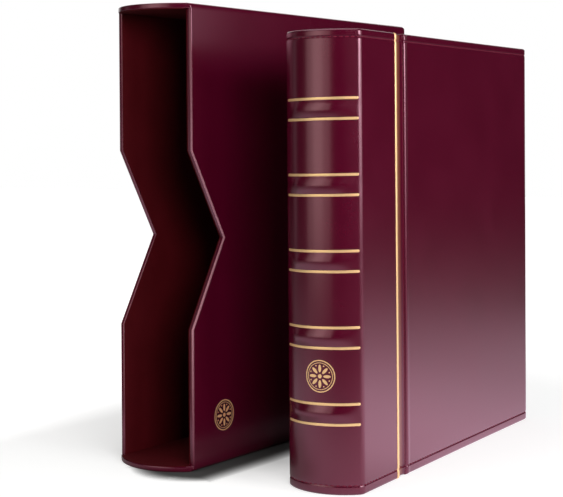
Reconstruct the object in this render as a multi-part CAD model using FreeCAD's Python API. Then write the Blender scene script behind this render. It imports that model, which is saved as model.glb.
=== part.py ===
import FreeCAD, Part
import math
import os

Vector = FreeCAD.Vector
UP = Vector(0, 0, 1)
ACROSS = Vector(0, 1, 0)

# Album, outside. X runs from the spine's ridges to the fore-edge, -Y is the front cover, Z is up.
album_height = 320.0
album_thickness = 60.0          # over both covers, ridge to ridge
album_width = 296.0             # from the ridges to the fore-edge
spine_bulge = 13.0              # the rounded spine's rise over its ridges
ridge_radius = 2.0

# Layers of a wrapped board
leather_thickness = 1.2
board_thickness = 2.4
lining_thickness = 0.4
spine_wall = 3.4                # from the ridges' plane to the flat inside of the spine

# Strip, hinge groove and cover, measured along X from the ridges
strip_end = 53.4
cover_start = 65.5
groove_depth = 1.6
endpaper_margin = 3.0
leather_edge_radius = 1.0

# Raised bands and gilt lines on the spine
band_count = 5
band_pitch = 52.5
band_half_width = 6.0
band_height = 2.2
band_runs = 5                   # straight runs in a band's rounded section
band_end_inset = 0.9            # the bands stop this far from the outside of the covers
gilt_line_offset = 7.0          # from a band's middle to each gilt line
gilt_line_width = 1.8
gilt_thickness = 0.25
gilt_end_inset = 2.0
groove_line_width = 2.5
groove_line_margin = 0.25       # from the gilt line at the groove to the strip's end

# Ring mechanism
ring_count = 4
ring_pitch = 80.0
ring_radius = 20.0              # to the middle of the wire
wire_radius = 1.5
wire_sides = 8
ring_runs = 12                  # straight runs round a half ring
foot_runs = 4                   # and round the bend at its foot
ring_centre = 35.0              # along X
ring_tip_gap = 0.4
ring_arc = 140.0                # degrees from the tip to the bend at the foot
foot_bend_radius = 5.0
housing_length = 276.0
housing_width = 30.0
housing_side = 4.2              # straight side, from the lining to the start of the arch
housing_rise = 4.5              # the arch, above its sides
arch_runs = 5                   # flat runs across the arch
housing_wall = 1.0
bar_sides = 12                  # sides of a rivet or pin
slot_clearance = 0.8
blade_thickness = 1.0
blade_lift = 2.8                # under the blades
blade_side_gap = 0.4
blade_middle_gap = 0.3
blade_end_inset = 14.0
rivet_spacing = 160.0
rivet_radius = 2.0
rivet_head_radius = 4.0
rivet_head_height = 1.6
rivet_depth = 7.0               # into the spine
rivet_clearance = 2.0           # cut out of the blades, all round the rivet

# Levers at both ends of the mechanism
lever_opening = 11.0            # the arch is cut back this far at each end
lever_pin_inset = 4.0           # from the housing's end to the pin
lever_pin_height = 2.2          # over the lining
lever_pin_radius = 1.0
lever_pin_clearance = 0.08
lever_hub_radius = 2.0
lever_hub_gap = 0.5             # from the hub to the housing's sides
lever_arm_width = 12.0
lever_arm_thickness = 1.6
lever_reach = 18.0              # from the pin to the bend in the arm
lever_lip_reach = 5.0           # the bent tip, along X
lever_lip_lift = 3.0            # and outwards

# Leaves
leaf_count = 8
leaf_pitch = 2.0
leaf_thickness = 0.8
leaf_height = 300.0
leaf_end = 290.0                # along X, for leaves in the middle of the stack
leaf_hole_radius = 4.0
leaf_hole_sides = 12
leaf_hole_play = 1.7            # the wire lies this far from the hole's middle
leaf_hole_margin = 9.0          # from the leaf's inner edge to the hole's middle
pocket_rows = 5
pocket_gap = 2.0
pocket_margin = 4.0
pocket_start = 14.0             # from the hole's middle to the pockets
pocket_film = 0.2

# Slipcase, in its own frame: X along its length, the near wall's outer face at Y = 0
case_length = 302.0
case_width = 72.0
case_height = 345.0
case_wall = 4.0
case_lining = 0.4
case_bow = 16.0                 # how far the top and base stand out over the side walls
case_edge_radius = 3.0          # rounded edges of the top and base
notch_height = 132.0
notch_depth = 37.5
notch_middle = 170.0
case_x = -2.5
case_y = 110.5
case_turn = -4.5                # degrees about Z

# Worked out from the sizes above
half_thickness = album_thickness / 2
core_half = half_thickness - leather_thickness
lined_half = core_half - board_thickness
inside_half = lined_half - lining_thickness
lining_face = spine_wall + lining_thickness
mid_height = album_height / 2
spine_radius = (half_thickness ** 2 + spine_bulge ** 2) / (2 * spine_bulge)
spine_axis = spine_radius - spine_bulge
under_leather = spine_radius - leather_thickness
core_corner = spine_axis - math.sqrt(under_leather ** 2 - core_half ** 2)
band_core_half = band_half_width - leather_thickness
band_reach = math.degrees(math.asin((half_thickness - band_end_inset) / (spine_radius + band_height)))
gilt_reach = math.degrees(math.asin((half_thickness - gilt_end_inset) / spine_radius))
arch_start = lining_face + housing_side
arch_top = arch_start + housing_rise
arch_crown = arch_start + housing_rise * math.sin(math.pi * (arch_runs // 2) / arch_runs)
housing_half = housing_width / 2
housing_low = mid_height - housing_length / 2
housing_high = mid_height + housing_length / 2
lever_pin_x = lining_face + lever_pin_height
blade_low = lining_face + blade_lift
blade_high = blade_low + blade_thickness
blade_half = housing_half - housing_wall - blade_side_gap
ring_tip_angle = math.degrees(math.asin(ring_tip_gap / 2 / ring_radius))
ring_foot_turn = ring_arc + ring_tip_angle - 90
ring_foot = (ring_radius + foot_bend_radius) * math.cos(math.radians(ring_foot_turn)) - foot_bend_radius
case_bow_radius = (case_width ** 2 / 4 + case_bow ** 2) / (2 * case_bow)


def box(low, high):
    """A block between two corners."""
    size = [b - a for a, b in zip(low, high)]
    return Part.makeBox(size[0], size[1], size[2], Vector(*low))


def prism(edges, low, high):
    """A closed outline in the XY plane, raised from low to high."""
    face = Part.Face(Part.Wire(edges))
    face.translate(Vector(0, 0, low))
    return face.extrude(Vector(0, 0, high - low))


def line(a, b):
    return Part.makeLine(Vector(a[0], a[1], 0), Vector(b[0], b[1], 0))


def arc(a, middle, b):
    points = [Vector(p[0], p[1], 0) for p in (a, middle, b)]
    return Part.Arc(*points).toShape()


def chain(points):
    """Straight edges from point to point."""
    return [line(a, b) for a, b in zip(points, points[1:])]


def front_and_back(shape):
    """A shape at the front cover, and its mirror image at the back cover."""
    return shape, shape.mirror(Vector(0, 0, 0), Vector(0, 1, 0))


def along_height(count, pitch):
    """Heights of a row of things centred on the album."""
    return [mid_height + (i - (count - 1) / 2) * pitch for i in range(count)]


def save(name, shapes):
    """One node: a single solid, or a group of separate ones."""
    solids = [solid for shape in shapes for solid in shape.Solids]
    shape = solids[0] if len(solids) == 1 else Part.makeCompound(solids)
    shape.exportStep("parts/%s.step" % name)


# Spine box: the rounded spine and the two strips beside it

def spine_core():
    """The former behind the spine's leather, rounded outside and flat inside."""
    high, low = (core_corner, core_half), (core_corner, -core_half)
    outline = chain([high, (spine_wall, core_half), (spine_wall, -core_half), low])
    outline.append(arc(low, (spine_axis - under_leather, 0), high))
    return prism(outline, leather_thickness, album_height - leather_thickness)


def strip_board():
    """The flat board between the spine's front ridge and the hinge groove."""
    low = (spine_wall, -core_half, leather_thickness)
    return box(low, (strip_end, -lined_half, album_height - leather_thickness))


def round_the_spine(profile, reach):
    """A profile in the XZ plane, X measured from the spine's axis, carried round the spine."""
    face = Part.Face(Part.Wire(profile))
    face.translate(Vector(spine_axis, 0, 0))
    face.rotate(Vector(spine_axis, 0, 0), UP, -reach)
    return face.revolve(Vector(spine_axis, 0, 0), UP, 2 * reach)


def spine_point(radius, height):
    return Vector(-radius, 0, height)


def band_section(radius, half_width, height):
    """The rounded section of a raised band in short straight runs, from its lower to its upper edge."""
    angles = [math.pi * run / band_runs for run in range(band_runs + 1)]
    points = [(radius + band_height * math.sin(a), height - half_width * math.cos(a)) for a in angles]
    return Part.makePolygon([spine_point(r, z) for r, z in points]).Edges


def banded_edge(radius, half_width):
    """The spine's upright section at one face of the leather: straight between the raised bands."""
    edges = []
    height = 0
    for middle in along_height(band_count, band_pitch):
        edges.append(Part.makeLine(spine_point(radius, height), spine_point(radius, middle - half_width)))
        edges += band_section(radius, half_width, middle)
        height = middle + half_width
    edges.append(Part.makeLine(spine_point(radius, height), spine_point(radius, album_height)))
    return edges


def spine_bands():
    """The cores of the raised bands, under the leather."""
    solids = []
    for height in along_height(band_count, band_pitch):
        edges = band_section(under_leather, band_core_half, height)
        base = Part.makeLine(edges[-1].Vertexes[1].Point, edges[0].Vertexes[0].Point)
        solids.append(round_the_spine(edges + [base], band_reach))
    return solids


def ridge_sheet():
    """The leather from the end of the front strip to the end of the bands, round the front ridge."""
    def at_band_end(radius):
        angle = math.radians(band_reach)
        return spine_axis - radius * math.cos(angle), -radius * math.sin(angle)

    def towards_ridge(radius, depth):
        angle = (math.asin(depth / radius) + math.radians(band_reach)) / 2
        return spine_axis - radius * math.cos(angle), -radius * math.sin(angle)

    outer = chain([(strip_end, -core_half), (strip_end, -half_thickness), (0, -half_thickness)])
    middle = towards_ridge(spine_radius, half_thickness)
    outer.append(arc((0, -half_thickness), middle, at_band_end(spine_radius)))
    outer.append(line(at_band_end(spine_radius), at_band_end(under_leather)))
    inner_corner = (core_corner, -core_half)
    outer.append(arc(at_band_end(under_leather), towards_ridge(under_leather, core_half), inner_corner))
    outer.append(line(inner_corner, (strip_end, -core_half)))
    sheet = prism(outer, 0, album_height)
    ridge = [e for e in sheet.Edges if abs(e.CenterOfMass.y + half_thickness) < 0.01
             and abs(e.CenterOfMass.x) < 0.01]
    return sheet.makeFillet(ridge_radius, ridge)


def spine_end(low):
    """The leather turned over the ends of the boards, at the foot or the head."""
    corner = (core_corner, core_half)
    points = [corner, (strip_end, core_half), (strip_end, lined_half), (spine_wall, lined_half)]
    mirrored = [(x, -y) for x, y in reversed(points)]
    outline = chain(points + mirrored)
    outline.append(arc(mirrored[-1], (spine_axis - under_leather, 0), corner))
    return prism(outline, low, low + leather_thickness)


def spine_leather():
    """One sheet round the spine and both strips, turned over the ends and raised over the bands."""
    outer = banded_edge(spine_radius, band_half_width)
    inner = banded_edge(under_leather, band_core_half)
    ends = []
    for z in (0, album_height):
        ends.append(Part.makeLine(spine_point(spine_radius, z), spine_point(under_leather, z)))
    sheet = round_the_spine(Part.sortEdges(outer + inner + ends)[0], band_reach)
    pieces = list(front_and_back(ridge_sheet()))
    pieces += [spine_end(0), spine_end(album_height - leather_thickness)]
    return sheet.fuse(pieces)


def spine_lining():
    """Paper inside the spine and the strips."""
    half = [(spine_wall, lined_half), (strip_end, lined_half)]
    half += [(strip_end, inside_half), (lining_face, inside_half)]
    outline = half + [(x, -y) for x, y in reversed(half)]
    return prism(chain(outline + outline[:1]), leather_thickness, album_height - leather_thickness)


def spine_gilt_lines():
    """A thin gilt line above and below each raised band."""
    lines = []
    for height in along_height(band_count, band_pitch):
        for side in (-1, 1):
            low = height + side * gilt_line_offset - gilt_line_width / 2
            high = low + gilt_line_width
            outside = spine_radius + gilt_thickness
            corners = [(spine_radius, low), (outside, low), (outside, high), (spine_radius, high)]
            outline = Part.makePolygon([spine_point(radius, z) for radius, z in corners + corners[:1]])
            lines.append(round_the_spine(outline.Edges, gilt_reach))
    return lines


def groove_gilt_line():
    """The gilt line along the front strip's edge."""
    end = strip_end - groove_line_margin
    low = (end - groove_line_width, -half_thickness - gilt_thickness, 0)
    return box(low, (end, -half_thickness, album_height))


# Covers and their hinges

def cover_board():
    low = (cover_start + leather_thickness, -core_half, leather_thickness)
    return box(low, (album_width - leather_thickness, -lined_half, album_height - leather_thickness))


def cover_leather(board):
    """Wrapped over the outside of the board and round its four edges."""
    wrap = box((cover_start, -half_thickness, 0), (album_width, -lined_half, album_height))
    outer = [e for e in wrap.Edges if abs(e.CenterOfMass.y + half_thickness) < 0.01]
    return wrap.makeFillet(leather_edge_radius, outer).cut(board)


def endpaper():
    low = (cover_start + endpaper_margin, -lined_half, endpaper_margin)
    return box(low, (album_width - endpaper_margin, -inside_half, album_height - endpaper_margin))


def hinge_leather():
    """The sheet that crosses the groove, lower than the boards beside it."""
    outside = -half_thickness + groove_depth
    low = (strip_end, outside, leather_thickness)
    return box(low, (cover_start, outside + leather_thickness, album_height - leather_thickness))


# Ring mechanism

def arch_section(half_width, rise):
    """Outline of the housing's outside or inside: straight sides and an arch folded in flat runs."""
    angles = [math.pi * run / arch_runs for run in range(arch_runs + 1)]
    arch = [(arch_start + rise * math.sin(a), -half_width * math.cos(a)) for a in angles]
    foot = [(lining_face, half_width), (lining_face, -half_width)]
    return chain(foot + arch + foot[:1])


def many_sided(radius, sides, centre, axis, start):
    """A closed many-sided outline round a centre, with a side's middle towards start."""
    corner = start * (radius / math.cos(math.pi / sides))
    points = []
    for side in range(sides + 1):
        rotation = FreeCAD.Rotation(axis, (side + 0.5) * 360 / sides)
        points.append(centre + rotation.multVec(corner))
    return Part.makePolygon(points)


def bar(radius, foot, along):
    """A small round bar with few sides, square to the height."""
    return Part.Face(many_sided(radius, bar_sides, foot, along, UP)).extrude(along)


def lever_pin(height):
    """Across the housing, from the outside of one wall to the outside of the other."""
    foot = Vector(lever_pin_x, -housing_half, height)
    return bar(lever_pin_radius, foot, ACROSS * housing_width)


def lever_pin_places():
    return [(-1, housing_low + lever_pin_inset), (1, housing_high - lever_pin_inset)]


def ring_housing():
    """Sprung channel with slots for the rings, holes for the pins and open ends for the levers."""
    body = prism(arch_section(housing_half, housing_rise), housing_low, housing_high)
    inner_half = housing_half - housing_wall
    hollow = prism(arch_section(inner_half, housing_rise - housing_wall), housing_low, housing_high)
    body = body.cut(hollow)
    openings = [(housing_low, housing_low + lever_opening), (housing_high, housing_high - lever_opening)]
    for end, inner in openings:
        low, high = min(end, inner), max(end, inner)
        body = body.cut(box((arch_start, -housing_half, low), (arch_top, housing_half, high)))
    reach = wire_radius + slot_clearance
    for height in along_height(ring_count, ring_pitch):
        for side in (-1, 1):
            y = side * ring_foot
            low = (arch_start, y - reach, height - reach)
            body = body.cut(box(low, (arch_top, y + reach, height + reach)))
    for side, height in lever_pin_places():
        body = body.cut(lever_pin(height))
    for height in rivet_heights():
        body = body.cut(rivet_shank(height))
    return body


def bent_wire(start, centre, degrees, runs):
    """Points round a centre, from just after start, in even steps."""
    points = []
    for run in range(runs):
        rotation = FreeCAD.Rotation(UP, degrees * (run + 1) / runs)
        points.append(centre + rotation.multVec(start - centre))
    return points


def ring_half(height):
    """Half of a ring at the front: a long bend, a short bend back and a straight foot on the blade."""
    centre = Vector(ring_centre, 0, height)
    tip = centre + Vector(math.sqrt(ring_radius ** 2 - ring_tip_gap ** 2 / 4), -ring_tip_gap / 2, 0)
    points = [tip] + bent_wire(tip, centre, -ring_arc, ring_runs)
    bend_centre = centre + (points[-1] - centre) * (1 + foot_bend_radius / ring_radius)
    points += bent_wire(points[-1], bend_centre, ring_foot_turn, foot_runs)
    points.append(Vector(blade_high, points[-1].y, height))
    along = (points[1] - points[0]).normalize()
    section = many_sided(wire_radius, wire_sides, tip, along, along.cross(UP))
    return Part.makePolygon(points).makePipeShell([section], True, False, 1)


def ring_blade():
    """The front hinge plate that carries the front ring halves, cut out round the rivets."""
    low = (blade_low, -blade_half, housing_low + blade_end_inset)
    plate = box(low, (blade_high, -blade_middle_gap / 2, housing_high - blade_end_inset))
    for height in rivet_heights():
        plate = plate.cut(bar(rivet_radius + rivet_clearance, Vector(0, 0, height), Vector(arch_top, 0, 0)))
    return plate


def rivet_heights():
    return along_height(2, rivet_spacing)


def rivet_shank(height):
    end = spine_wall - rivet_depth
    return bar(rivet_radius, Vector(end, 0, height), Vector(arch_crown - end, 0, 0))


def rivet(height):
    """A flat head on the housing's crown and a shank that goes into the spine."""
    head = bar(rivet_head_radius, Vector(arch_crown, 0, height), Vector(rivet_head_height, 0, 0))
    return rivet_shank(height).fuse(head)


def lever(side, height):
    """A hub on its pin and a flat arm off the mechanism, its tip bent outwards for the thumb."""
    x = lever_pin_x
    hub_half = housing_half - housing_wall - lever_hub_gap
    hub_end = Vector(x, -hub_half, height)
    hub = Part.makeCylinder(lever_hub_radius, 2 * hub_half, hub_end, ACROSS)
    half_arm = lever_arm_width / 2
    half_thin = lever_arm_thickness / 2
    bend = x + lever_reach
    tip = bend + lever_lip_reach
    lift = side * lever_lip_lift
    points = [(x, -half_thin), (bend, -half_thin), (tip, lift - half_thin), (tip, lift + half_thin),
              (bend, half_thin), (x, half_thin), (x, -half_thin)]
    outline = Part.makePolygon([Vector(px, -half_arm, height + pz) for px, pz in points])
    arm = Part.Face(outline).extrude(ACROSS * lever_arm_width)
    bore = Part.makeCylinder(lever_pin_radius + lever_pin_clearance, 2 * hub_half, hub_end, ACROSS)
    return hub.fuse(arm).cut(bore).removeSplitter()


# Leaves

def leaf_offset(number):
    """How far a leaf lies from the album's middle plane; leaf 0 is next to the front cover."""
    return (number - (leaf_count - 1) / 2) * leaf_pitch


def leaf_hole(offset):
    """Where a leaf's holes lie along X, for the ring to pass through them."""
    return ring_centre + math.sqrt(ring_radius ** 2 - offset ** 2) + leaf_hole_play


def leaf_outer_edge(offset):
    return leaf_end + leaf_hole(offset) - leaf_hole(0)


def leaf(offset):
    """A card sheet with a row of punched holes."""
    half = leaf_thickness / 2
    hole = leaf_hole(offset)
    bottom = mid_height - leaf_height / 2
    sheet = box((hole - leaf_hole_margin, offset - half, bottom),
                (leaf_outer_edge(offset), offset + half, bottom + leaf_height))
    for height in along_height(ring_count, ring_pitch):
        rim = many_sided(leaf_hole_radius, leaf_hole_sides, Vector(hole, offset - half, height), ACROSS, UP)
        sheet = sheet.cut(Part.Face(rim).extrude(ACROSS * leaf_thickness))
    return sheet


def leaf_pockets(offset):
    """Rows of clear film on both faces of a leaf."""
    bottom = mid_height - leaf_height / 2 + pocket_margin
    pitch = (leaf_height - 2 * pocket_margin + pocket_gap) / pocket_rows
    start = leaf_hole(offset) + pocket_start
    end = leaf_outer_edge(offset) - pocket_margin
    films = []
    for row in range(pocket_rows):
        low = bottom + row * pitch
        for side in (-1, 1):
            face = offset + side * leaf_thickness / 2
            faces = sorted((face, face + side * pocket_film))
            films.append(box((start, faces[0], low), (end, faces[1], low + pitch - pocket_gap)))
    return films


# Slipcase

def stand_case(shape):
    """From the slipcase's own frame to its place beside the album."""
    shape.rotate(Vector(0, 0, 0), UP, case_turn)
    shape.translate(Vector(case_x, case_y, 0))
    return shape


def case_side():
    """The near wall between the base and the top, with its notch for the thumb."""
    wall = box((0, 0, case_wall), (case_length, case_wall, case_height - case_wall))
    half = notch_height / 2
    corners = [(0, notch_middle - half), (notch_depth, notch_middle), (0, notch_middle + half)]
    outline = Part.makePolygon([Vector(x, 0, z) for x, z in corners + corners[:1]])
    notch = Part.Face(outline).extrude(Vector(0, case_wall, 0))
    return wall.cut(notch)


def case_front(y):
    """Where the bowed front edge of the top and base lies along X."""
    across = y - case_width / 2
    return case_bow_radius - case_bow - math.sqrt(case_bow_radius ** 2 - across ** 2)


def case_plate(inset, low, high, end):
    """The outline of the top or base, or of the paper on it, with its bowed front edge."""
    near, far = inset, case_width - inset
    front = case_front(inset)
    outline = chain([(front, far), (end, far), (end, near), (front, near)])
    outline.append(arc((front, near), (-case_bow, case_width / 2), (front, far)))
    return prism(outline, low, high)


def case_base():
    """The base, under the walls, rounded along its sides and its back."""
    plate = case_plate(0, 0, case_wall, case_length)
    edges = [e for e in plate.Edges if abs(e.CenterOfMass.z) < 0.01 and e.CenterOfMass.x > 0]
    return plate.makeFillet(case_edge_radius, edges)


def case_top():
    return case_base().mirror(Vector(0, 0, case_height / 2), UP)


def case_back():
    low = (case_length - case_wall, case_wall, case_wall)
    return box(low, (case_length, case_width - case_wall, case_height - case_wall))


def case_lining_sheets():
    """Paper on the inside of the five walls."""
    inner = case_wall + case_lining
    back = case_length - case_wall
    side = case_side().common(box((0, 0, case_wall), (back, case_wall, case_height - case_wall)))
    side = side.common(box((0, 0, 0), (back, case_lining, case_height)))
    near = side.copy()
    near.translate(Vector(0, case_wall, 0))
    far = side.copy()
    far.translate(Vector(0, case_width - inner, 0))
    base = case_plate(inner, case_wall, inner, back)
    top = base.mirror(Vector(0, 0, case_height / 2), UP)
    base = base.cut(box((back - case_lining, 0, case_wall), (back, case_width, inner)))
    high = case_height - case_wall
    top = top.cut(box((back - case_lining, 0, case_height - inner), (back, case_width, high)))
    end = box((back - case_lining, inner, case_wall), (back, case_width - inner, high))
    return [near, far, base, top, end]


def build_spine():
    core = spine_core()
    boards = front_and_back(strip_board())
    lining = spine_lining()
    save("spine_leather", [spine_leather()])
    save("spine_bands", spine_bands())
    for height in rivet_heights():
        core = core.cut(rivet_shank(height))
        lining = lining.cut(rivet_shank(height))
    save("spine_core", [core])
    save("spine_lining", [lining])
    save("front_strip_board", [boards[0]])
    save("back_strip_board", [boards[1]])
    save("spine_gilt_lines", spine_gilt_lines())
    for side, gilt in zip(("front", "back"), front_and_back(groove_gilt_line())):
        save(side + "_groove_gilt_line", [gilt])
    for side, hinge in zip(("front", "back"), front_and_back(hinge_leather())):
        save(side + "_hinge_leather", [hinge])


def build_covers():
    board = cover_board()
    pieces = {"cover_board": board, "cover_leather": cover_leather(board), "endpaper": endpaper()}
    for name, piece in pieces.items():
        for side, shape in zip(("front", "back"), front_and_back(piece)):
            save(side + "_" + name, [shape])


def build_mechanism():
    save("ring_housing", [ring_housing()])
    save("housing_rivets", [rivet(height) for height in rivet_heights()])
    halves = [front_and_back(ring_half(height)) for height in along_height(ring_count, ring_pitch)]
    for number, side in enumerate(("front", "back")):
        save("ring_halves_" + side, [pair[number] for pair in halves])
        save("ring_blade_" + side, [front_and_back(ring_blade())[number]])
    for name, (side, height) in zip(("bottom", "top"), lever_pin_places()):
        save(name + "_lever", [lever(side, height)])
    save("lever_pins", [lever_pin(height) for side, height in lever_pin_places()])


def build_leaves():
    for number in range(leaf_count):
        offset = leaf_offset(number)
        save("leaf_%02d" % (number + 1), [leaf(offset)])
        save("leaf_%02d_pockets" % (number + 1), leaf_pockets(offset))


def build_slipcase():
    near = case_side()
    far = near.copy()
    far.translate(Vector(0, case_width - case_wall, 0))
    walls = {"near_side": near, "far_side": far, "base": case_base(), "top": case_top()}
    walls["back"] = case_back()
    for name, wall in walls.items():
        save("slipcase_" + name, [stand_case(wall)])
    save("slipcase_lining", [stand_case(sheet) for sheet in case_lining_sheets()])


os.makedirs("parts", exist_ok=True)
build_spine()
build_covers()
build_mechanism()
build_leaves()
build_slipcase()
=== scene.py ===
import bpy
import bmesh
import math
from mathutils import Matrix, Vector
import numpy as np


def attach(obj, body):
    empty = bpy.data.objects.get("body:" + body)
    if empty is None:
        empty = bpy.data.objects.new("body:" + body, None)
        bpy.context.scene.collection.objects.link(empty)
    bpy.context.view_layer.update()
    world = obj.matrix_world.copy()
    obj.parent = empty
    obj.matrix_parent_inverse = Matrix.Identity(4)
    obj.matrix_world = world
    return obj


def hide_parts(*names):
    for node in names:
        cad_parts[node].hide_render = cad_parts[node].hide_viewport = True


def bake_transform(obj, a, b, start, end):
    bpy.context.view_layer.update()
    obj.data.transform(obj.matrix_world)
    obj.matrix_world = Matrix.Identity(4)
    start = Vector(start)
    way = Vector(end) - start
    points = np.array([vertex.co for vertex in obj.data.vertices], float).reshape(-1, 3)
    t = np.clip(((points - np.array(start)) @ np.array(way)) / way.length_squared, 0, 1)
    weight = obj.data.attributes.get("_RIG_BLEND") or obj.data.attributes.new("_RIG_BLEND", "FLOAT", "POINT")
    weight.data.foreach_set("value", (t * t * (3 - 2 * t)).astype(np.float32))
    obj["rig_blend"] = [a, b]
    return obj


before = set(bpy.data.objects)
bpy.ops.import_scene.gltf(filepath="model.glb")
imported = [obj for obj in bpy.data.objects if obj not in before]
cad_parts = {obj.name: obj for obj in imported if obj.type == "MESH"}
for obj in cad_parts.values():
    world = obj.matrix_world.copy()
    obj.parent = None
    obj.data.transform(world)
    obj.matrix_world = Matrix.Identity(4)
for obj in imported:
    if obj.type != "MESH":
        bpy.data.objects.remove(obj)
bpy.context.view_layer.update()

mm = 0.001

# Album, as the solids have it: X from the ridges to the fore-edge, the front cover at -Y
height = 320 * mm
half = 30 * mm
bulge = 13 * mm
width = 296 * mm
strip_end = 53.4 * mm
cover_start = 65.5 * mm
lined_half = 26.4 * mm
spine_wall = 3.4 * mm
groove_face = 28.4 * mm
leather = 1.2 * mm
spine_radius = (half ** 2 + bulge ** 2) / (2 * bulge)
spine_axis = spine_radius - bulge

# Raised bands, gilt lines and the soft edges of the leather
bands = [height / 2 + (i - 2) * 52.5 * mm for i in range(5)]
band_height = 1.6 * mm
band_half = 6.3 * mm
band_slant = 0.018
gilt_offset = 7 * mm
gilt_half = 0.95 * mm
gilt_rise = 0.25 * mm
gilt_front = math.radians(44.4)
gilt_back = math.radians(40.8)
bead_half = 1.6 * mm
bead_rise = 0.6 * mm
bead_middle = 52.5 * mm
edge_round = 1.8 * mm
lip_round = 0.9 * mm
lip_tuck = 0.2 * mm
ridge_at_foot = 7.0 * mm
ridge_at_head = 5.0 * mm
cover_roll = 0.35 * mm
cover_swell = 2.4 * mm
cover_fall = 1.5 * mm
turned_in = 0.2 * mm
band_fade_end = math.radians(46)
band_fade = math.radians(30)
gilt_round = 0.03

# Where the spine's outline changes, as shares from a strip's end to the spine's middle
lip_from = 0.02
strip_from = 0.07
ridge_from = 0.26
round_from = 0.42

# Leather across the groove
hinge_tuck = 0.2 * mm
hinge_width = cover_start - strip_end + 0.6 * mm
hinge_lift = 0.4 * mm
hinge_sag = 0.5 * mm
hinge_thickness = 0.9 * mm
hinge_fold = 1.1 * mm
hinge_short = 0.4 * mm
# Where the painted reflection of the gilt line fades out, from the strip's end
reflection_from = 3 * mm
reflection_to = 9 * mm

# Hems and stitches
hem_foot = 6.6 * mm
hem_head = height - 5.6 * mm
hem_dip = 0.38 * mm
hem_half = 0.8 * mm
stitch_pitch = 4.1 * mm
stitch_length = 2.9 * mm
stitch_radius = 0.4 * mm

# Rosettes
foil = 0.2 * mm
foil_sunk = 0.05 * mm
spine_rosette_radius = 11.2 * mm
spine_rosette_angle = math.radians(-4.5)
case_rosette_radius = 11.6 * mm
case_rosette_middle = 36 * mm

# Ring mechanism
ring_heights = [height / 2 + (i - 1.5) * 80 * mm for i in range(4)]
ring_centre = 35 * mm
ring_radius = 20 * mm
wire_radius = 1.5 * mm
ring_arc = 140
ring_tip_gap = 0.2 * mm
foot_bend = 5 * mm
blade_top = 7.6 * mm
rivet_heights = [80 * mm, 240 * mm]
rivet_radius = 2 * mm
rivet_foot = -3.6 * mm
crown = 12.28 * mm

# Slipcase, in its own frame
case_length = 302 * mm
case_width = 72 * mm
case_height = 345 * mm
case_wall = 4 * mm
case_bow = 16 * mm
case_round = 3 * mm
case_edge = 0.9 * mm
case_lip = 1.2 * mm
notch_half = 66 * mm
notch_depth = 37.5 * mm
notch_middle = 170 * mm
case_turn = Matrix.Rotation(math.radians(-4.5), 4, "Z")
case_place = Matrix.Translation((-2.5 * mm, 110.5 * mm, 0)) @ case_turn

# Camera
view_yaw = -1.034
view_roll = -0.007
view_focal = 1401.3
sensor = 36
view_middle = (306.0, 134.3)
view_place = (-0.8448, -0.4886, 0.2476)
image = (563, 497)
ahead = Vector((-math.sin(view_yaw), math.cos(view_yaw), 0))
level = Vector((math.cos(view_yaw), math.sin(view_yaw), 0))

# The slipcase's painted shadow on the table: its outline, moved towards the album and the eye
shade_forward = 13 * mm
shade_sideways = 25 * mm
shade_within = 14 * mm
shade_past = 6 * mm
shade_soft = 60 * mm


# Shader sums

class Value:
    """A shader socket that takes part in sums."""

    def __init__(self, finish, socket):
        self.finish = finish
        self.socket = socket

    def sum(self, operation, first, second):
        return self.finish.add("ShaderNodeMath", {"operation": operation}, {0: first, 1: second})

    def __add__(self, other):
        return self.sum("ADD", self, other)

    def __radd__(self, other):
        return self.sum("ADD", other, self)

    def __sub__(self, other):
        return self.sum("SUBTRACT", self, other)

    def __rsub__(self, other):
        return self.sum("SUBTRACT", other, self)

    def __mul__(self, other):
        return self.sum("MULTIPLY", self, other)

    def __rmul__(self, other):
        return self.sum("MULTIPLY", other, self)

    def most(self, other):
        return self.sum("MAXIMUM", self, other)

    def size(self):
        return self.sum("ABSOLUTE", self, 0)


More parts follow.
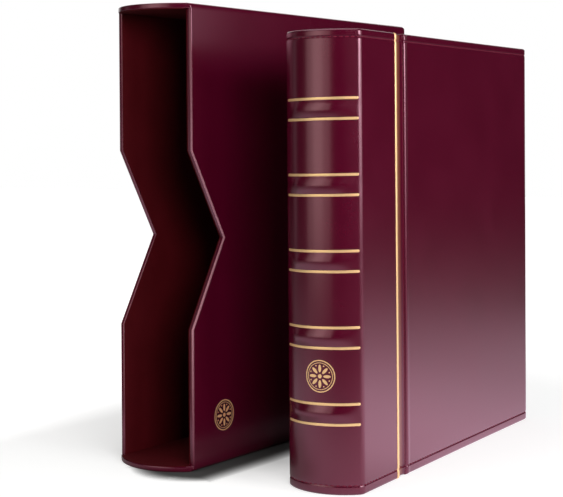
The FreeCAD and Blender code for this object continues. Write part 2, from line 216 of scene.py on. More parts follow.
class Finish:
    """A material or a sky, and the nodes that feed its surface."""

    def __init__(self, name, store=bpy.data.materials, surface="Principled BSDF"):
        self.made = store.new(name)
        self.made.use_nodes = True
        self.nodes = self.made.node_tree.nodes
        self.links = self.made.node_tree.links
        self.surface = self.nodes[surface]

    def put(self, socket, value):
        if isinstance(value, Value):
            self.links.new(value.socket, socket)
        elif isinstance(value, tuple) and len(value) == 3 and socket.type == "RGBA":
            socket.default_value = (*value, 1)
        else:
            socket.default_value = value

    def add(self, kind, settings=None, sockets=None, output=0):
        node = self.nodes.new(kind)
        for name, value in (settings or {}).items():
            setattr(node, name, value)
        for name, value in (sockets or {}).items():
            self.put(node.inputs[name], value)
        return Value(self, node.outputs[output])

    def place(self):
        return self.add("ShaderNodeTexCoord", output="Object")

    def noise(self, scale, detail=2.0, place=None):
        sockets = {"Vector": place or self.place(), "Scale": scale, "Detail": detail}
        return self.add("ShaderNodeTexNoise", sockets=sockets)

    def cells(self, scale):
        return self.add("ShaderNodeTexVoronoi", sockets={"Vector": self.place(), "Scale": scale})

    def mix(self, share, first, second, clamp=True):
        settings = {"data_type": "RGBA", "clamp_factor": clamp}
        return self.add("ShaderNodeMix", settings, {0: share, 6: first, 7: second}, output=2)

    def ramp(self, value, low, high):
        sockets = {"Value": value, "From Min": low, "From Max": high}
        return self.add("ShaderNodeMapRange", {"clamp": True}, sockets)

    def along(self, way, start=0.0):
        """How far the surface's place lies along a way from a start."""
        ends = {0: self.place(), 1: tuple(way)}
        reach = self.add("ShaderNodeVectorMath", {"operation": "DOT_PRODUCT"}, ends, output="Value")
        return reach - start

    def distance(self, place):
        """How far the surface's place lies from a point."""
        ends = {0: self.place(), 1: place}
        return self.add("ShaderNodeVectorMath", {"operation": "DISTANCE"}, ends, output="Value")

    def bump(self, value, distance, strength):
        sockets = {"Height": value, "Distance": distance, "Strength": strength}
        return self.add("ShaderNodeBump", sockets=sockets)

    def set(self, **sockets):
        for name, value in sockets.items():
            words = name.replace("_", " ").title().replace("Ior", "IOR")
            self.put(self.surface.inputs[words], value)
        return self.made


def leather_finish(name, painted_gilt_reflection=False):
    """Semi-gloss burgundy leatherette: fine grain, soft unevenness of colour and gloss, painted edge
    highlights, and with the flag a painted reflection of the gilt line.
    """
    f = Finish(name)
    grain = f.cells(1250)
    pores = f.noise(2600, 3)
    slow = f.noise(26, 2)
    relief = grain * 0.7 + pores * 0.4 + slow * 5.0
    deep = f.mix(f.ramp(slow, 0.3, 0.7), (0.062, 0.0004, 0.0100), (0.072, 0.0006, 0.0122))
    colour = f.mix(f.ramp(grain, 0.0, 0.8) * 0.3, deep, (0.090, 0.0015, 0.018))
    if painted_gilt_reflection:
        # Painted reflection of the gilt line: a brown-gold tint where the attribute marks it.
        gilt_reflection_share = f.add("ShaderNodeAttribute", {"attribute_name": "painted_gilt_reflection"}, output="Fac")
        colour = f.mix(gilt_reflection_share, colour, (0.26, 0.10, 0.055))
    # Painted highlight: pale pink along marked edge roundings, in place of the light they catch.
    painted_edge_highlight = f.add("ShaderNodeAttribute", {"attribute_name": "painted_edge_highlight"}, output="Fac")
    colour = f.mix(painted_edge_highlight * f.ramp(pores, 0.25, 0.5), colour, (0.40, 0.19, 0.23))
    rough = 0.17 + slow * 0.06 + pores * 0.05
    return f.set(base_color=colour, roughness=rough, normal=f.bump(relief, 0.00003, 0.25),
                 ior=1.6, specular_ior_level=0.45 if painted_gilt_reflection else 1.0, specular_tint=(1.0, 0.57, 0.70))


def gold_finish():
    """Gold foil pressed into the leather, worn thin in specks."""
    f = Finish("gold_foil")
    grain = f.cells(1250)
    specks = f.noise(1800, 4)
    worn = f.ramp(specks, 0.60, 0.74) * 0.35
    colour = f.mix(worn, (1.0, 0.66, 0.32), (0.50, 0.28, 0.11))
    rough = 0.28 + f.noise(600, 2) * 0.12
    return f.set(base_color=colour, roughness=rough, metallic=0.5, normal=f.bump(grain, 0.00003, 0.25))


def thread_finish():
    """Twisted sewing thread."""
    f = Finish("sewing_thread")
    settings = {"bands_direction": "DIAGONAL"}
    twist = f.add("ShaderNodeTexWave", settings, {"Vector": f.place(), "Scale": 700.0})
    colour = f.mix(twist, (0.120, 0.010, 0.028), (0.190, 0.022, 0.050))
    return f.set(base_color=colour, roughness=0.62 + twist * 0.1, normal=f.bump(twist, 0.0001, 0.4),
                 specular_ior_level=0.3)


def paper_finish(name, dark, light, fibre):
    """Uncoated paper or board with a fibrous tooth."""
    f = Finish(name)
    fibres = f.noise(fibre, 6)
    clouds = f.noise(60, 3)
    colour = f.mix(f.ramp(fibres * 0.7 + clouds * 0.3, 0.3, 0.7), dark, light)
    return f.set(base_color=colour, roughness=0.78 + fibres * 0.12, normal=f.bump(fibres, 0.00008, 0.3),
                 specular_ior_level=0.12)


def steel_finish(name, colour, rough, streak):
    """Plated steel with fine drawn lines along the height and faint smears."""
    f = Finish(name)
    stretch = f.add("ShaderNodeMapping", sockets={"Vector": f.place(), "Scale": (2200, 2200, 25)})
    lines = f.noise(1.0, 3, stretch)
    smears = f.noise(45, 4)
    tint = f.mix(f.ramp(smears, 0.35, 0.7), colour, tuple(c * 0.86 for c in colour))
    return f.set(base_color=tint, roughness=rough + lines * streak + smears * 0.06, metallic=1.0,
                 normal=f.bump(lines, 0.00001, 0.2))


def film_finish():
    """Clear pocket film: almost all of it lets the card show, with soft ripples and a gloss."""
    f = Finish("clear_film")
    ripples = f.noise(70, 2)
    return f.set(base_color=(0.85, 0.88, 0.90), roughness=0.10 + ripples * 0.08,
                 alpha=0.16 + ripples * 0.06, normal=f.bump(ripples, 0.0008, 0.2))


leather_look = leather_finish("burgundy_leather")
hinge_look = leather_finish("leather_with_painted_gilt_reflection", True)
gold_look = gold_finish()
thread_look = thread_finish()
lining_look = paper_finish("red_lining", (0.052, 0.0024, 0.0042), (0.076, 0.0040, 0.0068), 1400)
board_look = paper_finish("grey_board", (0.22, 0.20, 0.17), (0.32, 0.29, 0.25), 700)
leaf_look = paper_finish("black_card", (0.010, 0.010, 0.011), (0.020, 0.020, 0.021), 1200)
nickel_look = steel_finish("bright_nickel", (0.72, 0.71, 0.69), 0.12, 0.10)
steel_look = steel_finish("plain_steel", (0.52, 0.52, 0.53), 0.28, 0.16)
film_look = film_finish()


# Making pieces

def piece(name, bm, look, sharp=40):
    """A finished bmesh as an object at the origin."""
    mesh = bpy.data.meshes.new(name)
    bm.to_mesh(mesh)
    bm.free()
    mesh.polygons.foreach_set("use_smooth", [True] * len(mesh.polygons))
    mesh.set_sharp_from_angle(angle=math.radians(sharp))
    mesh.materials.append(look)
    thing = bpy.data.objects.new(name, mesh)
    bpy.context.scene.collection.objects.link(thing)
    return thing


def outwards(bm):
    bmesh.ops.recalc_face_normals(bm, faces=bm.faces)
    return bm


def mirrored(bm):
    """The same shape on the other side of the album's middle plane."""
    bmesh.ops.scale(bm, vec=(1, -1, 1), verts=bm.verts)
    bmesh.ops.reverse_faces(bm, faces=bm.faces)
    return bm


def both_sides(name, make, look, rides=None, replaces=None, hinge=False):
    """A piece at the front cover and its mirror image at the back cover."""
    for side, y in (("front", -groove_face), ("back", groove_face)):
        bm = make()
        if side == "back":
            mirrored(bm)
        thing = piece(side + "_" + name, bm, look)
        if hinge:
            start = (strip_end, y, height / 2)
            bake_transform(thing, "spine_box", side + "_cover", start=start, end=(cover_start, y, height / 2))
        else:
            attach(thing, rides or side + "_cover")
        if replaces:
            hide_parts(side + "_" + replaces)


def spread(low, high, step):
    """Even steps from low up to but not at high."""
    count = max(1, round((high - low) / step))
    return [low + (high - low) * i / count for i in range(count)]


def mapped_grid(across, along, place):
    """A grid whose points are put in place by their share across and their row."""
    bm = bmesh.new()
    bmesh.ops.create_grid(bm, x_segments=across, y_segments=along, size=0.5)
    for vert in bm.verts:
        vert.co = place(vert.co.x + 0.5, round((vert.co.y + 0.5) * along))
    return bm


def box(low, high):
    bm = bmesh.new()
    bmesh.ops.create_cube(bm, size=1)
    bmesh.ops.scale(bm, vec=Vector(high) - Vector(low), verts=bm.verts)
    bmesh.ops.translate(bm, vec=(Vector(low) + Vector(high)) / 2, verts=bm.verts)
    return bm


def join(whole, part):
    """Adds a bmesh to another one."""
    mesh = bpy.data.meshes.new("part")
    part.to_mesh(mesh)
    part.free()
    whole.from_mesh(mesh)
    bpy.data.meshes.remove(mesh)


def cut_across(bm, places, way):
    """Loops of edges where planes cross the shape."""
    for place in places:
        geom = bm.verts[:] + bm.edges[:] + bm.faces[:]
        bmesh.ops.bisect_plane(bm, geom=geom, plane_co=way * place, plane_no=way)


def soften(bm, edges, offset, segments=5):
    """Rounds edges, and gives the faces of the rounding."""
    return bmesh.ops.bevel(bm, geom=edges, offset=offset, segments=segments, profile=0.5, affect="EDGES",
                           material=-1)["faces"]


def paint_edge_highlight(bm, rounding, share):
    """Paints a highlight along the middle of a rounding: pale colour in place of the light it catches."""
    layer = bm.verts.layers.float["painted_edge_highlight"]
    for vert in {vert for face in rounding for vert in face.verts}:
        if all(face in rounding for face in vert.link_faces):
            vert[layer] = share


def new_leather():
    """An empty bmesh that can carry painted edge highlights."""
    bm = bmesh.new()
    bm.verts.layers.float.new("painted_edge_highlight")
    return bm


def edges_where(bm, test):
    """The edges with both ends in a place."""
    return [edge for edge in bm.edges if all(test(vert.co) for vert in edge.verts)]


# Rows up the leather: height, how far the edge is rounded in, and whether the row is on the inner edge

def edge_rows():
    rows = [(leather, 0, True), (0, 0, True)]
    for i in range(7):
        angle = math.radians(15 * i)
        rows.append((edge_round * (1 - math.cos(angle)), edge_round * (1 - math.sin(angle)), False))
    return rows


def body_rows():
    marks = []
    low = edge_round + 0.3 * mm
    places = [(hem_foot, 1.5 * mm, 0.25 * mm), (hem_head, 1.5 * mm, 0.25 * mm)]
    places += [(band, band_half + 1.6 * mm, 0.6 * mm) for band in bands]
    for middle, reach, step in sorted(places):
        marks += spread(low, middle - reach, 4 * mm)
        marks += spread(middle - reach, middle + reach, step)
        low = middle + reach
    marks += spread(low, height - edge_round, 0.8 * mm)
    return [(z, 0, False) for z in marks]


def leather_rows():
    foot = edge_rows()
    head = [(height - z, inset, inner) for z, inset, inner in reversed(foot)]
    return foot + body_rows() + head


rows = leather_rows()
outer_rows = [(z, inset) for z, inset, inner in rows if not inner]


def hem_depth(z):
    """The dip that the stitches pull into the leather."""
    return sum(hem_dip * math.exp(-((z - line) / hem_half) ** 2) for line in (hem_foot, hem_head))


def band_share(z, y):
    """How near a point is to the middle of a band: 1 there, and 0 past its sides."""
    nearest = min(abs(z + band_slant * y - band) for band in bands)
    return max(0, 1 - (nearest / band_half) ** 2)


def band_rise(z, angle):
    """How far a raised band lifts the leather, fading out towards the ridges."""
    fade = min(1, max(0, (band_fade_end - abs(angle)) / band_fade))
    fade = fade * fade * (3 - 2 * fade)
    return band_height * band_share(z, spine_radius * math.sin(angle)) ** 1.2 * fade


def ridge_radius(z, side):
    """Sharp at the head, softer towards the foot, and a little pressed in beside the bands."""
    even = ridge_at_foot + (ridge_at_head - ridge_at_foot) * z / height
    return even + 0.8 * mm * band_share(z, side * half)


def spine_outline(share, z, side):
    """A point on the leather and the way outwards, from a strip's end (0) to the spine's middle (1)."""
    r = ridge_radius(z, side)
    inwards = math.sqrt((spine_radius - r) ** 2 - (half - r) ** 2)
    centre = Vector((spine_axis - inwards, side * (half - r), 0))
    turn = math.atan2(half - r, spine_axis - centre.x)
    lip = Vector((strip_end - lip_round, side * (half - lip_round), 0))
    if share < lip_from:
        depth = (half - groove_face + lip_tuck - lip_round) * (1 - share / lip_from)
        return Vector((strip_end, side * (half - lip_round - depth), 0)), Vector((1, 0, 0))
    if share < strip_from:
        angle = math.pi / 2 * (share - lip_from) / (strip_from - lip_from)
        way = Vector((math.cos(angle), side * math.sin(angle), 0))
        return lip + way * lip_round, way
    if share < ridge_from:
        x = lip.x + (centre.x - lip.x) * (share - strip_from) / (ridge_from - strip_from)
        return Vector((x, side * half, 0)), Vector((0, side, 0))
    if share < round_from:
        angle = math.pi / 2 + (turn - math.pi / 2) * (share - ridge_from) / (round_from - ridge_from)
        way = Vector((-math.cos(angle), side * math.sin(angle), 0))
        return centre + way * r, way
    angle = turn * (1 - (share - round_from) / (1 - round_from))
    way = Vector((-math.cos(angle), side * math.sin(angle), 0))
    return Vector((spine_axis, 0, 0)) + way * (spine_radius + band_rise(z, side * angle)), way


def on_spine(share, row):
    """A point on the spine's leather, from the front strip's end (0) to the back strip's end (1)."""
    z, inset, inner = row
    side = -1 if share <= 0.5 else 1
    point, way = spine_outline(2 * share if share <= 0.5 else 2 - 2 * share, z, side)
    point = point - way * (inset + hem_depth(z))
    if inner:
        point.x = max(point.x, spine_wall)
        point.y = max(-lined_half, min(lined_half, point.y))
    point.z = z
    return point


def spine_sheet():
    """One sheet of leather round the spine and both strips, turned over the head and the foot."""
    bm = mapped_grid(160, len(rows) - 1, lambda share, row: on_spine(share, rows[row]))
    thing = piece("spine_leather_sheet", outwards(bm), leather_look, 60)
    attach(thing, "spine_box")
    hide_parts("spine_leather", "spine_bands")


def gilt_point(middle, across, along):
    """across runs over the line's width from -1 to 1, and along from the back ridge to the front one."""
    reach = math.sin(math.pi / 2 * along)
    angle = reach * (gilt_front if along > 0 else gilt_back)
    narrow = math.sqrt(max(0.02, 1 - max(0, (abs(reach) - 1) / gilt_round + 1) ** 2))
    radius = spine_radius + gilt_rise * math.sqrt(max(0, 1 - across ** 2)) * narrow
    z = middle + band_slant * spine_radius * math.sin(angle) + gilt_half * across * narrow
    return Vector((spine_axis - radius * math.cos(angle), -radius * math.sin(angle), z))


def spine_gilt():
    """A pair of gilt lines to each band, a little rounded, with rounded ends."""
    whole = bmesh.new()
    ends = 32
    for band in bands:
        for middle in (band - gilt_offset, band + gilt_offset):
            place = lambda share, row: gilt_point(middle, 2 * share - 1, row / ends - 1)
            join(whole, mapped_grid(8, 2 * ends, place))
    thing = piece("spine_gilt", outwards(whole), gold_look, 60)
    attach(thing, "spine_box")
    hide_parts("spine_gilt_lines")


def groove_bead():
    """The gilt line beside the groove: a low rounded bead that runs over the head and the foot."""
    def place(share, row):
        z, inset = outer_rows[row]
        across = 2 * share - 1
        x = bead_middle + bead_half * across
        rise = bead_rise * math.sqrt(max(0, 1 - across ** 2))
        drop = max(0, x - strip_end + lip_round) ** 2 / lip_round * 0.6
        return Vector((x, -half + inset + hem_depth(z) - rise + drop, z))
    return outwards(mapped_grid(12, len(outer_rows) - 1, place))


def hinge_face(x, z):
    """The outer face of the leather across the groove, which sags a little, the same at any height."""
    share = (x - strip_end + hinge_tuck) / hinge_width
    return -groove_face - hinge_lift + hinge_sag * math.sin(math.pi * share)


def hinge_sheet():
    """The leather across the groove, folded back over its ends, with a painted reflection of the gilt line
    beside it.
    """
    def place(share, row):
        z, inset = outer_rows[row]
        x = strip_end - hinge_tuck + hinge_width * share
        y = hinge_face(x, z) + min(inset, hinge_fold) + hem_depth(z)
        return Vector((x, y, min(max(z, hinge_short), height - hinge_short)))
    bm = outwards(mapped_grid(18, len(outer_rows) - 1, place))
    bmesh.ops.solidify(bm, geom=bm.faces[:], thickness=hinge_thickness)
    # Painted reflection of the gilt line on the outer face only, fading out across the groove.
    layer = bm.verts.layers.float.new("painted_gilt_reflection")
    between_faces = -groove_face + 0.25 * mm
    for vert in bm.verts:
        if vert.co.y < between_faces + hem_depth(vert.co.z):
            share = (strip_end + reflection_to - vert.co.x) / (reflection_to - reflection_from)
            vert[layer] = min(1, max(0, share))
    return outwards(bm)


def cover_face(x, z):
    """The face of a cover: a low roll beside the groove, a swell, and a soft fall at the fore-edge."""
    share = max(0, (x - cover_start) / (width - cover_start))
    roll = cover_roll * math.exp(-((x - cover_start - 2.6 * mm) / (1.8 * mm)) ** 2)
    fall = cover_fall * max(0, (x - width + 6 * mm) / (6 * mm)) ** 2
    return -half - roll - cover_swell * share ** 2 * (0.5 + 0.5 * z / height) + fall


def cover_panel():
    """A cover: leather wrapped round the board, with a stitched hem at the head and the foot."""
    bm = box((cover_start, -half, 0), (width, turned_in - lined_half, height))
    soften(bm, edges_where(bm, lambda place: place.y < -half + 1e-6), edge_round, 6)
    dips = [line + step * 0.3 * mm for line in (hem_foot, hem_head) for step in range(-5, 6)]
    cut_across(bm, dips + spread(20 * mm, height - 20 * mm, 14 * mm), Vector((0, 0, 1)))
    steps = spread(cover_start + edge_round, cover_start + 8 * mm, 0.5 * mm)
    steps += spread(cover_start + 8 * mm, width - 7 * mm, 14 * mm)
    steps += spread(width - 7 * mm, width - edge_round, 0.7 * mm)
    cut_across(bm, steps, Vector((1, 0, 0)))
    for vert in bm.verts:
        if vert.co.y < -half + edge_round:
            vert.co.y += hem_depth(vert.co.z) + half + cover_face(vert.co.x, vert.co.z)
    return outwards(bm)


# Stitches

def add_stitch(bm, place, along, out):
    """One stitch, laid along the leather and sunk halfway into its dip."""
    along = along.normalized()
    side = out.cross(along).normalized()
    turn = Matrix((along, side, along.cross(side))).transposed().to_4x4()
    size = Matrix.Diagonal((stitch_length / 2, stitch_radius, stitch_radius, 1))
    bmesh.ops.create_uvsphere(bm, u_segments=8, v_segments=6, radius=1,
                              matrix=Matrix.Translation(place) @ turn @ size)


def spine_stitches():
    """Along the head and the foot of the spine and the strips."""
    bm = bmesh.new()
    steps = 1200
    for z in (hem_foot, hem_head):
        points = [on_spine(0.035 + 0.93 * i / steps, (z, 0, False)) for i in range(steps + 1)]
        travelled = 0
        for before, after in zip(points, points[1:]):
            travelled += (after - before).length
            if travelled >= stitch_pitch:
                travelled -= stitch_pitch
                add_stitch(bm, after, after - before, Vector((0, 0, 1)).cross(after - before))
    thing = piece("spine_stitches", outwards(bm), thread_look)
    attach(thing, "spine_box")


def straight_stitches(low, high, face):
    """Along the head and the foot between two places, on a face that looks to the front."""
    bm = bmesh.new()
    for z in (hem_foot, hem_head):
        for x in spread(low, high, stitch_pitch):
            add_stitch(bm, Vector((x, face(x, z) + hem_dip, z)), Vector((1, 0, 0)), Vector((0, -1, 0)))
    return outwards(bm)


def cover_stitches():
    return straight_stitches(cover_start + 3 * mm, width - 1.5 * mm, cover_face)


def hinge_stitches():
    return straight_stitches(strip_end + 2.2 * mm, cover_start - 1 * mm, hinge_face)


# Gilt rosette: a round floret of petals inside two rings

def flat_ring(bm, radius, band):
    """A flat band between two circles."""
    ring = bmesh.ops.create_circle(bm, segments=56, radius=radius)["verts"]
    edges = list({edge for vert in ring for edge in vert.link_edges})
    grown = bmesh.ops.extrude_edge_only(bm, edges=edges)["geom"]
    inner = [part for part in grown if isinstance(part, bmesh.types.BMVert)]
    share = (radius - band) / radius
    bmesh.ops.scale(bm, vec=(share, share, 1), verts=inner)


def flat_disc(bm, place, long, wide):
    bmesh.ops.create_circle(bm, segments=14, radius=1, cap_ends=True,
                            matrix=place @ Matrix.Diagonal((long, wide, 1, 1)))


def rosette(radius):
    """Flat in the XY plane, with a little thickness for the pressed foil."""
    bm = bmesh.new()
    flat_ring(bm, radius, 0.07 * radius)
    flat_ring(bm, 0.84 * radius, 0.035 * radius)
    for i in range(8):
        turn = Matrix.Rotation(math.tau * i / 8, 4, "Z")
        between = Matrix.Rotation(math.tau * (i + 0.5) / 8, 4, "Z")
        petal = turn @ Matrix.Translation((0.48 * radius, 0, 0))
        dot = between @ Matrix.Translation((0.68 * radius, 0, 0))
        flat_disc(bm, petal, 0.24 * radius, 0.095 * radius)
        flat_disc(bm, dot, 0.045 * radius, 0.045 * radius)
    flat_disc(bm, Matrix.Identity(4), 0.13 * radius, 0.13 * radius)
    bm.normal_update()
    for face in bm.faces:
        if face.normal.z < 0:
            face.normal_flip()
    grown = bmesh.ops.extrude_face_region(bm, geom=bm.faces[:])["geom"]
    lifted = [part for part in grown if isinstance(part, bmesh.types.BMVert)]
    bmesh.ops.translate(bm, vec=(0, 0, foil), verts=lifted)
    return bm


def spine_rosette():
    """On the panel over the lowest band, bent round the spine."""
    bm = rosette(spine_rosette_radius)
    z = (bands[0] + bands[1]) / 2
    for vert in bm.verts:
        angle = spine_rosette_angle + vert.co.x / spine_radius
        radius = spine_radius - foil_sunk + vert.co.z
        x = spine_axis - radius * math.cos(angle)
        vert.co = Vector((x, radius * math.sin(angle), z + vert.co.y))
    thing = piece("spine_rosette", outwards(bm), gold_look)
    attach(thing, "spine_box")


def case_rosette():
    """Low on the slipcase's near wall."""
    bm = rosette(case_rosette_radius)
    middle = Matrix.Translation((case_rosette_middle, foil_sunk, case_rosette_middle))
    stand = middle @ Matrix.Rotation(math.radians(90), 4, "X")
    bmesh.ops.transform(bm, matrix=case_place @ stand, verts=bm.verts)
    thing = piece("case_rosette", outwards(bm), gold_look)
    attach(thing, "slipcase")


# Slipcase

def case_piece(name, bm, node):
    bmesh.ops.transform(bm, matrix=case_place, verts=bm.verts)
    thing = piece(name, outwards(bm), leather_look, 50)
    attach(thing, "slipcase")
    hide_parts(node)


def case_side(y, outside):
    """A side wall with its notch, its front edges rounded where the leather turns over them, with painted
    highlights along the roundings.
    """
    high = case_height - case_wall
    corners = [(0, case_wall), (case_length, case_wall), (case_length, high), (0, high)]
    corners += [(0, notch_middle + notch_half), (notch_depth, notch_middle)]
    corners.append((0, notch_middle - notch_half))
    bm = new_leather()
    face = bm.faces.new([bm.verts.new((x, y, z)) for x, z in corners])
    grown = bmesh.ops.extrude_face_region(bm, geom=[face])["geom"]
    moved = [part for part in grown if isinstance(part, bmesh.types.BMVert)]
    bmesh.ops.translate(bm, vec=(0, case_wall, 0), verts=moved)
    inside = 2 * y + case_wall - outside
    # Painted highlights: bright on the outer rounding, fainter on the inner one.
    for side, rounding, highlight_share in ((outside, case_lip, 1.0), (inside, case_edge, 0.35)):
        on_front = lambda place: place.x < notch_depth + 1e-6 and abs(place.y - side) < 1e-6
        paint_edge_highlight(bm, soften(bm, edges_where(bm, on_front), rounding), highlight_share)
    return bm


def case_front(y):
    """The bow of the base's and the top's front edge, in front of the walls."""
    middle = case_width / 2
    radius = (middle ** 2 + case_bow ** 2) / (2 * case_bow)
    return radius - case_bow - math.sqrt(max(0, radius ** 2 - (y - middle) ** 2))


def case_base():
    """The base, with its bowed front edge, rounded along its sides and its back."""
    bm = box((0, 0, 0), (case_length, case_width, case_wall))
    low = edges_where(bm, lambda place: place.z < 1e-6)
    soften(bm, [edge for edge in low if sum(vert.co.x for vert in edge.verts) > 1e-6], case_round, 8)
    cut_across(bm, spread(0.7 * mm, case_width - 0.7 * mm, 1.6 * mm), Vector((0, 1, 0)))
    front = [face for face in bm.faces if all(vert.co.x < 1e-6 for vert in face.verts)]
    around = [edge for face in front for edge in face.edges]
    rim = [edge for edge in around if sum(other in front for other in edge.link_faces) == 1]
    for vert in {vert for face in front for vert in face.verts}:
        vert.co.x = case_front(vert.co.y)
    soften(bm, rim, case_edge)
    return bm


def case_top():
    bm = case_base()
    bmesh.ops.scale(bm, vec=(1, 1, -1), verts=bm.verts)
    bmesh.ops.translate(bm, vec=(0, 0, case_height), verts=bm.verts)
    return bm


def case_back():
    low = (case_length - case_wall, case_wall, case_wall)
    return box(low, (case_length, case_width - case_wall, case_height - case_wall))


def slipcase():
    case_piece("case_near_wall", case_side(0, 0), "slipcase_near_side")
    case_piece("case_far_wall", case_side(case_width - case_wall, case_width), "slipcase_far_side")
    case_piece("case_base", case_base(), "slipcase_base")
    case_piece("case_top", case_top(), "slipcase_top")
    case_piece("case_back_wall", case_back(), "slipcase_back")


# Ring mechanism

def ring_half(z):
    """Round wire: a long bend from the tip, a short bend back and a straight foot."""
    bm = bmesh.new()
    centre = Vector((ring_centre, 0, z))
    tip_angle = math.asin(ring_tip_gap / ring_radius)
    tip = centre + Vector((math.cos(tip_angle), -math.sin(tip_angle), 0)) * ring_radius
    ring = bmesh.ops.create_circle(bm, segments=14, radius=wire_radius, cap_ends=True)
    upright = Matrix.Rotation(-tip_angle, 4, "Z") @ Matrix.Rotation(math.radians(90), 4, "X")
    bmesh.ops.transform(bm, matrix=Matrix.Translation(tip) @ upright, verts=ring["verts"])
    end = bm.faces[:]
    foot_turn = ring_arc + math.degrees(tip_angle) - 90
    for middle, degrees, steps in ((centre, -ring_arc, 28), (None, foot_turn, 10)):
        if middle is None:
            at = sum((face.calc_center_median() for face in end), Vector()) / len(end)
            middle = centre + (at - centre) * (1 + foot_bend / ring_radius)
        spun = bmesh.ops.spin(bm, geom=end, cent=middle, axis=(0, 0, 1), angle=math.radians(degrees),
                              steps=steps)
        end = [part for part in spun["geom_last"] if isinstance(part, bmesh.types.BMFace)]
    foot = bmesh.ops.extrude_face_region(bm, geom=end)["geom"]
    verts = [part for part in foot if isinstance(part, bmesh.types.BMVert)]
    bmesh.ops.translate(bm, vec=(blade_top - verts[0].co.x, 0, 0), verts=verts)
    bmesh.ops.remove_doubles(bm, verts=bm.verts, dist=1e-6)
    return outwards(bm)


def rings():
    for side in ("front", "back"):
        whole = bmesh.new()
        for z in ring_heights:
            wire = ring_half(z)
            if side == "back":
                mirrored(wire)
            join(whole, wire)
        thing = piece("ring_wires_" + side, whole, nickel_look, 50)
        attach(thing, "ring_" + side)
        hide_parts("ring_halves_" + side)


def rivet(bm, z):
    """A shank and a domed head on the housing's crown: each step's rise in mm, and its narrowing."""
    ring = bmesh.ops.create_circle(bm, segments=32, radius=rivet_radius, cap_ends=True)["verts"]
    face = list({face for vert in ring for face in vert.link_faces})
    stand = Matrix.Translation((rivet_foot, 0, z)) @ Matrix.Rotation(math.radians(90), 4, "Y")
    bmesh.ops.transform(bm, verts=ring, matrix=stand)
    dome = ((0, 1), (0, 2), (0.4, 1), (0.75, 0.93), (1.05, 0.8), (1.3, 0.72), (1.5, 0.5))
    for rise, share in dome:
        grown = bmesh.ops.extrude_face_region(bm, geom=face)["geom"]
        face = [part for part in grown if isinstance(part, bmesh.types.BMFace)]
        verts = [part for part in grown if isinstance(part, bmesh.types.BMVert)]
        bmesh.ops.translate(bm, vec=(crown + rise * mm - verts[0].co.x, 0, 0), verts=verts)
        bmesh.ops.scale(bm, vec=(1, share, share), verts=verts, space=Matrix.Translation((0, 0, -z)))


def rivets():
    bm = bmesh.new()
    for z in rivet_heights:
        rivet(bm, z)
    bmesh.ops.remove_doubles(bm, verts=bm.verts, dist=1e-6)
    thing = piece("domed_rivets", outwards(bm), steel_look, 35)
    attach(thing, "spine_box")
    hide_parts("housing_rivets")


# Finishes on the solids that stay

def dress_solids():
    looks = {"board": board_look, "core": board_look, "endpaper": lining_look, "lining": lining_look,
             "pockets": film_look, "housing": nickel_look, "lever": nickel_look,
             "blade_front": steel_look, "blade_back": steel_look, "pins": steel_look}
    for name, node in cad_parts.items():
        look = leaf_look if name.startswith("leaf") else leather_look
        for ending, chosen in looks.items():
            if name.endswith(ending):
                look = chosen
        node.data.materials.clear()
        node.data.materials.append(look)


# Studio

def camera():
    """Level with the upper part of the album, shifted down to keep its uprights parallel."""
    up = Vector((0, 0, 1))
    right = level * math.cos(view_roll) + up * math.sin(view_roll)
    top = up * math.cos(view_roll) - level * math.sin(view_roll)
    lens = bpy.data.cameras.new("camera")
    lens.sensor_width = sensor
    lens.lens = view_focal / image[0] * sensor
    lens.shift_x = (image[0] / 2 - view_middle[0]) / image[0]
    lens.shift_y = (view_middle[1] - image[1] / 2) / image[0]
    view = bpy.data.objects.new("camera", lens)
    turn = Matrix((right, top, -ahead)).transposed().to_4x4()
    view.matrix_world = Matrix.Translation(view_place) @ turn
    bpy.context.scene.collection.objects.link(view)
    bpy.context.scene.camera = view


def softbox(name, place, target, wide, tall, power, colour=(1, 1, 1), shines=True):
    """A rectangular lamp that looks at its target. Glossy surfaces show it if it shines."""
    light = bpy.data.lights.new(name, "AREA")
    light.shape = "RECTANGLE"
    light.size = wide
    light.size_y = tall
    light.energy = power
    light.color = colour
    lamp = bpy.data.objects.new(name, light)
    lamp.visible_glossy = shines
    aim = (Vector(place) - Vector(target)).to_track_quat("Z", "Y").to_matrix().to_4x4()
    lamp.matrix_world = Matrix.Translation(place) @ aim
    bpy.context.scene.collection.objects.link(lamp)


def ray(f, *kinds):
    """One for light that reaches the surface along these kinds of ray, and nought for other light."""
    found = f.add("ShaderNodeLightPath", output="Is " + kinds[0] + " Ray")
    for kind in kinds[1:]:
        found = found.most(f.add("ShaderNodeLightPath", output="Is " + kind + " Ray"))
    return found


def on_case(f):
    """Places on the table in the slipcase's own frame: along its length, and across it."""
    ways = [case_turn @ Vector(way) for way in ((1, 0, 0), (0, 1, 0))]
    return [f.along(way, case_place.translation.dot(way)) for way in ways]


def beside_case(x, y):
    """Distance on the table from the slipcase's outline."""
    off_middle = (y - case_width / 2) * (2 / case_width)
    bow = (case_bow - off_middle * off_middle * case_bow).most(0.0)
    return (0 - x - bow).most(x - case_length).most(0 - y).most(y - case_width)


def stands_near(f, reach, rays):
    """One where something stands within reach of the surface, and nought on open table."""
    clear = f.add("ShaderNodeAmbientOcclusion", {"samples": rays}, {"Distance": reach}, output="AO")
    return f.ramp(1 - clear, 0.0, 0.015)


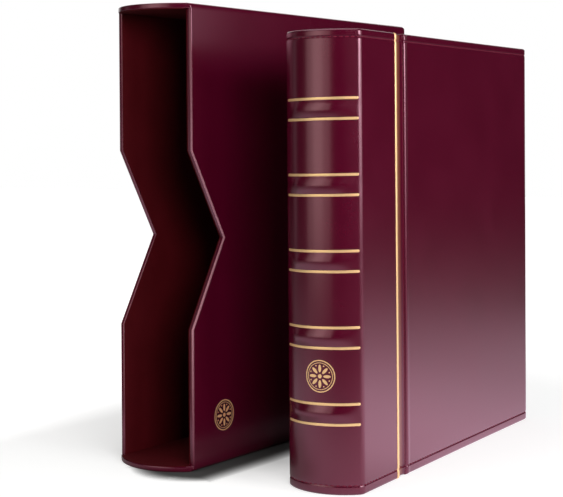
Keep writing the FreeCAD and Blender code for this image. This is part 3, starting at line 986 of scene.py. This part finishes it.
def table_finish():
    """White card to the eye, with a painted shadow of the slipcase and a painted soft shade beside it, kept
    only where something stands near.
    """
    f = Finish("white_table")
    x, y = on_case(f)
    beside = beside_case(x, y)
    # Painted shadow: dark along the slipcase's moved outline, softer between it and the album, kept only
    # where something stands near.
    shaded = beside_case(x + shade_forward, y + shade_sideways)
    between = (1 - f.ramp(shaded, 0, shade_soft)) * f.ramp(x, -10 * mm, 60 * mm)
    core = f.ramp(shaded, -shade_within, shade_past)
    shade = 1 - (1 - core * core * (1 - between * 0.48)) * stands_near(f, 50 * mm, 48)
    away = f.ramp(f.distance((0.1, 0.1, 0)), 0.35, 0.8).most(f.ramp(y, 0.19, 0.29))
    # Painted soft shade on the table beside the slipcase's far wall.
    behind = f.ramp(x, -25 * mm, 25 * mm) * f.ramp(y, 40 * mm, 110 * mm) * stands_near(f, 0.2, 8)
    around = 1 - (1 - f.ramp(beside, 0, 0.18)) * behind * 0.14
    seen = (0.62 + away * 0.45) * shade * around * ray(f, "Camera", "Transmission")
    depth = f.along(ahead)
    # Painted reflection: a pale pink glow on the table seen only in mirrors, bright in front of the cover and
    # faint near the slipcase.
    before_cover = f.ramp(f.along((0, -1, 0)), 0.0, 0.03) * f.ramp(f.along((1, 0, 0)), -0.05, 0.12)
    bright = (1 - f.ramp(f.distance((0.2, -0.05, 0)), 0.05, 0.95)) * before_cover * 0.80
    in_view = (1 - f.ramp(f.along(level).size(), 0.42, 0.6)) * f.ramp(depth, -0.45, -0.1)
    nearer = in_view * f.ramp(beside, 0.06, 0.10) * (1 - f.ramp(depth, 0.15, 0.35)) * 0.33
    in_mirrors = f.mix(nearer + bright, (0, 0, 0), (1, 0.75, 0.93), False)
    # The table's own colour carries the painted shadow too, and is darker towards the eye.
    base = f.mix(shade * f.ramp(depth, -0.5, -0.1), (0.07, 0.07, 0.07), (0.55, 0.55, 0.55))
    return f.set(base_color=base, roughness=0.9, emission_strength=1.0, specular_ior_level=0.1,
                 emission_color=f.mix(ray(f, "Glossy"), seen, in_mirrors))


def sky_finish():
    """Dim to the object, and white to the eye and in mirrors that look past the object."""
    f = Finish("studio_sky", bpy.data.worlds, "Background")
    behind = f.ramp(f.along(ahead), 0.75, 0.9)
    white = ray(f, "Camera", "Transmission").most(ray(f, "Glossy") * behind)
    return f.set(color=(1, 1, 1), strength=0.012 + white * 0.988)


def card(name, look, wide, deep, place):
    bm = bmesh.new()
    bmesh.ops.create_grid(bm, x_segments=1, y_segments=1, size=0.5)
    bmesh.ops.transform(bm, matrix=place @ Matrix.Diagonal((wide, deep, 1, 1)), verts=bm.verts)
    piece(name, bm, look)


def studio():
    scene = bpy.context.scene
    scene.view_settings.view_transform = "Standard"
    scene.world = sky_finish()
    card("table", table_finish(), 8, 8, Matrix.Translation((0.2, 0.1, 0)))
    softbox("overhead", (0.05, 0.2, 1.35), (0.1, 0.0, 0), 1.3, 1.3, 7)
    softbox("main", (-0.86, -1.00, 0.60), (0.0, 0.05, 0.20), 0.7, 0.6, 14, shines=False)
    softbox("front", (0.30, -1.2, 0.42), (0.20, 0.0, 0.30), 1.0, 0.6, 4.4)
    softbox("strip", (-0.09, -1.2, 0.56), (0.0, 0.0, 0.25), 0.6, 0.5, 6.6)
    softbox("left", (-0.17, 1.15, 0.45), (0.0, 0.1, 0.20), 0.2, 0.8, 0.12)
    warm = (1.0, 0.98, 0.84)
    softbox("key", (-0.93, 0.36, 0.51), (0.0, 0.0, 0.40), 1.0, 0.92, 2.3, warm)
    softbox("key_heart", (-0.92, 0.37, 0.55), (0.0, 0.0, 0.40), 0.4, 0.92, 0.8, warm)


spine_sheet()
spine_gilt()
both_sides("gilt_bead", groove_bead, gold_look, rides="spine_box", replaces="groove_gilt_line")
both_sides("hinge_sheet", hinge_sheet, hinge_look, replaces="hinge_leather", hinge=True)
both_sides("cover_panel", cover_panel, leather_look, replaces="cover_leather")
spine_stitches()
both_sides("cover_stitches", cover_stitches, thread_look)
both_sides("hinge_stitches", hinge_stitches, thread_look, hinge=True)
spine_rosette()
case_rosette()
slipcase()
rings()
rivets()
dress_solids()
camera()
studio()

bpy.context.view_layer.update()
